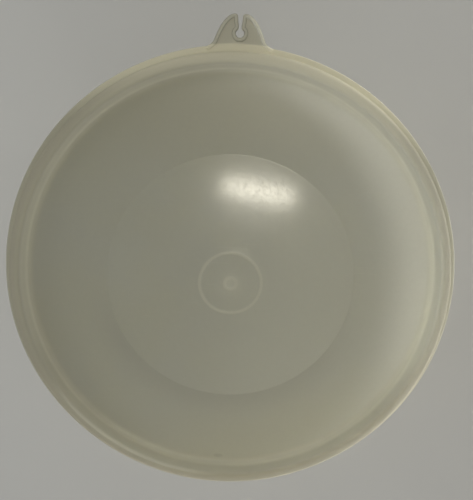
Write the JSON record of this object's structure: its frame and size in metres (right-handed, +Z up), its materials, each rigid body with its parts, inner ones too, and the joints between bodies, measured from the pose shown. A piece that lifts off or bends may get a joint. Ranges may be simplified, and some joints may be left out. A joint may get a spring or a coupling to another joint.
{
  "type": "lettuce keeper",
  "caption": "Round frosted plastic lettuce keeper: a deep bowl, a slotted core holder with a spike, and a press-on domed seal lid with a keyhole hanging tab.",
  "frame": {"origin": "centre of the bowl's underside, on the plane that the keeper stands on", "axes": "+Z up along the turned axis, +Y from the axis towards the lid's hanging tab, +X to the right when seen from above with the tab pointing away"},
  "size_m": [0.2312, 0.2452, 0.142],
  "materials": {
    "bowl_plastic": "satin, frosted translucent polyethylene",
    "holder_plastic": "satin, milky polyethylene",
    "seal_plastic": "satin, frosted translucent polyethylene, yellowed with age"
  },
  "bodies": {
    "bowl": {"bowl": "bowl_plastic"},
    "core_holder": {"core_holder": "holder_plastic"},
    "seal_lid": {"seal_lid": "seal_plastic"}
  },
  "joints": [
    {"name": "seal_lift", "type": "slide", "parent": "bowl", "child": "seal_lid", "axis": [0, 0, 1], "range_m": [0, 0.15]},
    {"name": "holder_lift", "type": "slide", "parent": "bowl", "child": "core_holder", "axis": [0, 0, 1], "range_m": [0, 0.085]}
  ]
}
